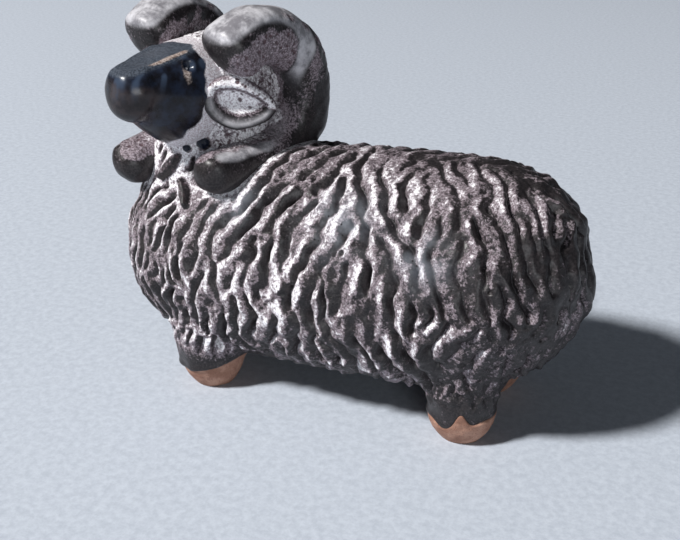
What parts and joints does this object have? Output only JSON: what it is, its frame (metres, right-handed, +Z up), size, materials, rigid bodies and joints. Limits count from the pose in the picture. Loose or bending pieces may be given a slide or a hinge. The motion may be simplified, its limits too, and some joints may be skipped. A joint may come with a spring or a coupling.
{
  "type": "ram figurine",
  "caption": "Hand-built ceramic ram with a barrel body, carved wool, curled horns round its ears, a turned head and short bare-clay feet; a shelf ornament.",
  "frame": {"origin": "on the floor under the middle of the whole figurine's box", "axes": "+Z up; the ram's body faces -X and its left side is -Y, the side that its head is turned to"},
  "size_m": [0.1446, 0.0704, 0.1126],
  "materials": {
    "wool_glaze": "satin dark iron glaze, pale where it pools in the carved grooves",
    "horn_glaze": "smooth satin dark iron glaze",
    "muzzle_glaze": "gloss blue-black glaze, brown on the edges",
    "bare_clay": "matt unglazed terracotta"
  },
  "bodies": {
    "root": {"body_front_shell": "wool_glaze", "body_rear_shell": "wool_glaze", "neck": "wool_glaze", "head": "wool_glaze", "tail": "wool_glaze", "muzzle": "muzzle_glaze", "horn_left": "horn_glaze", "horn_right": "horn_glaze", "ear_left": "horn_glaze", "ear_right": "horn_glaze", "leg_front_left": "bare_clay", "leg_front_right": "bare_clay", "leg_rear_left": "bare_clay", "leg_rear_right": "bare_clay"}
  },
  "joints": []
}
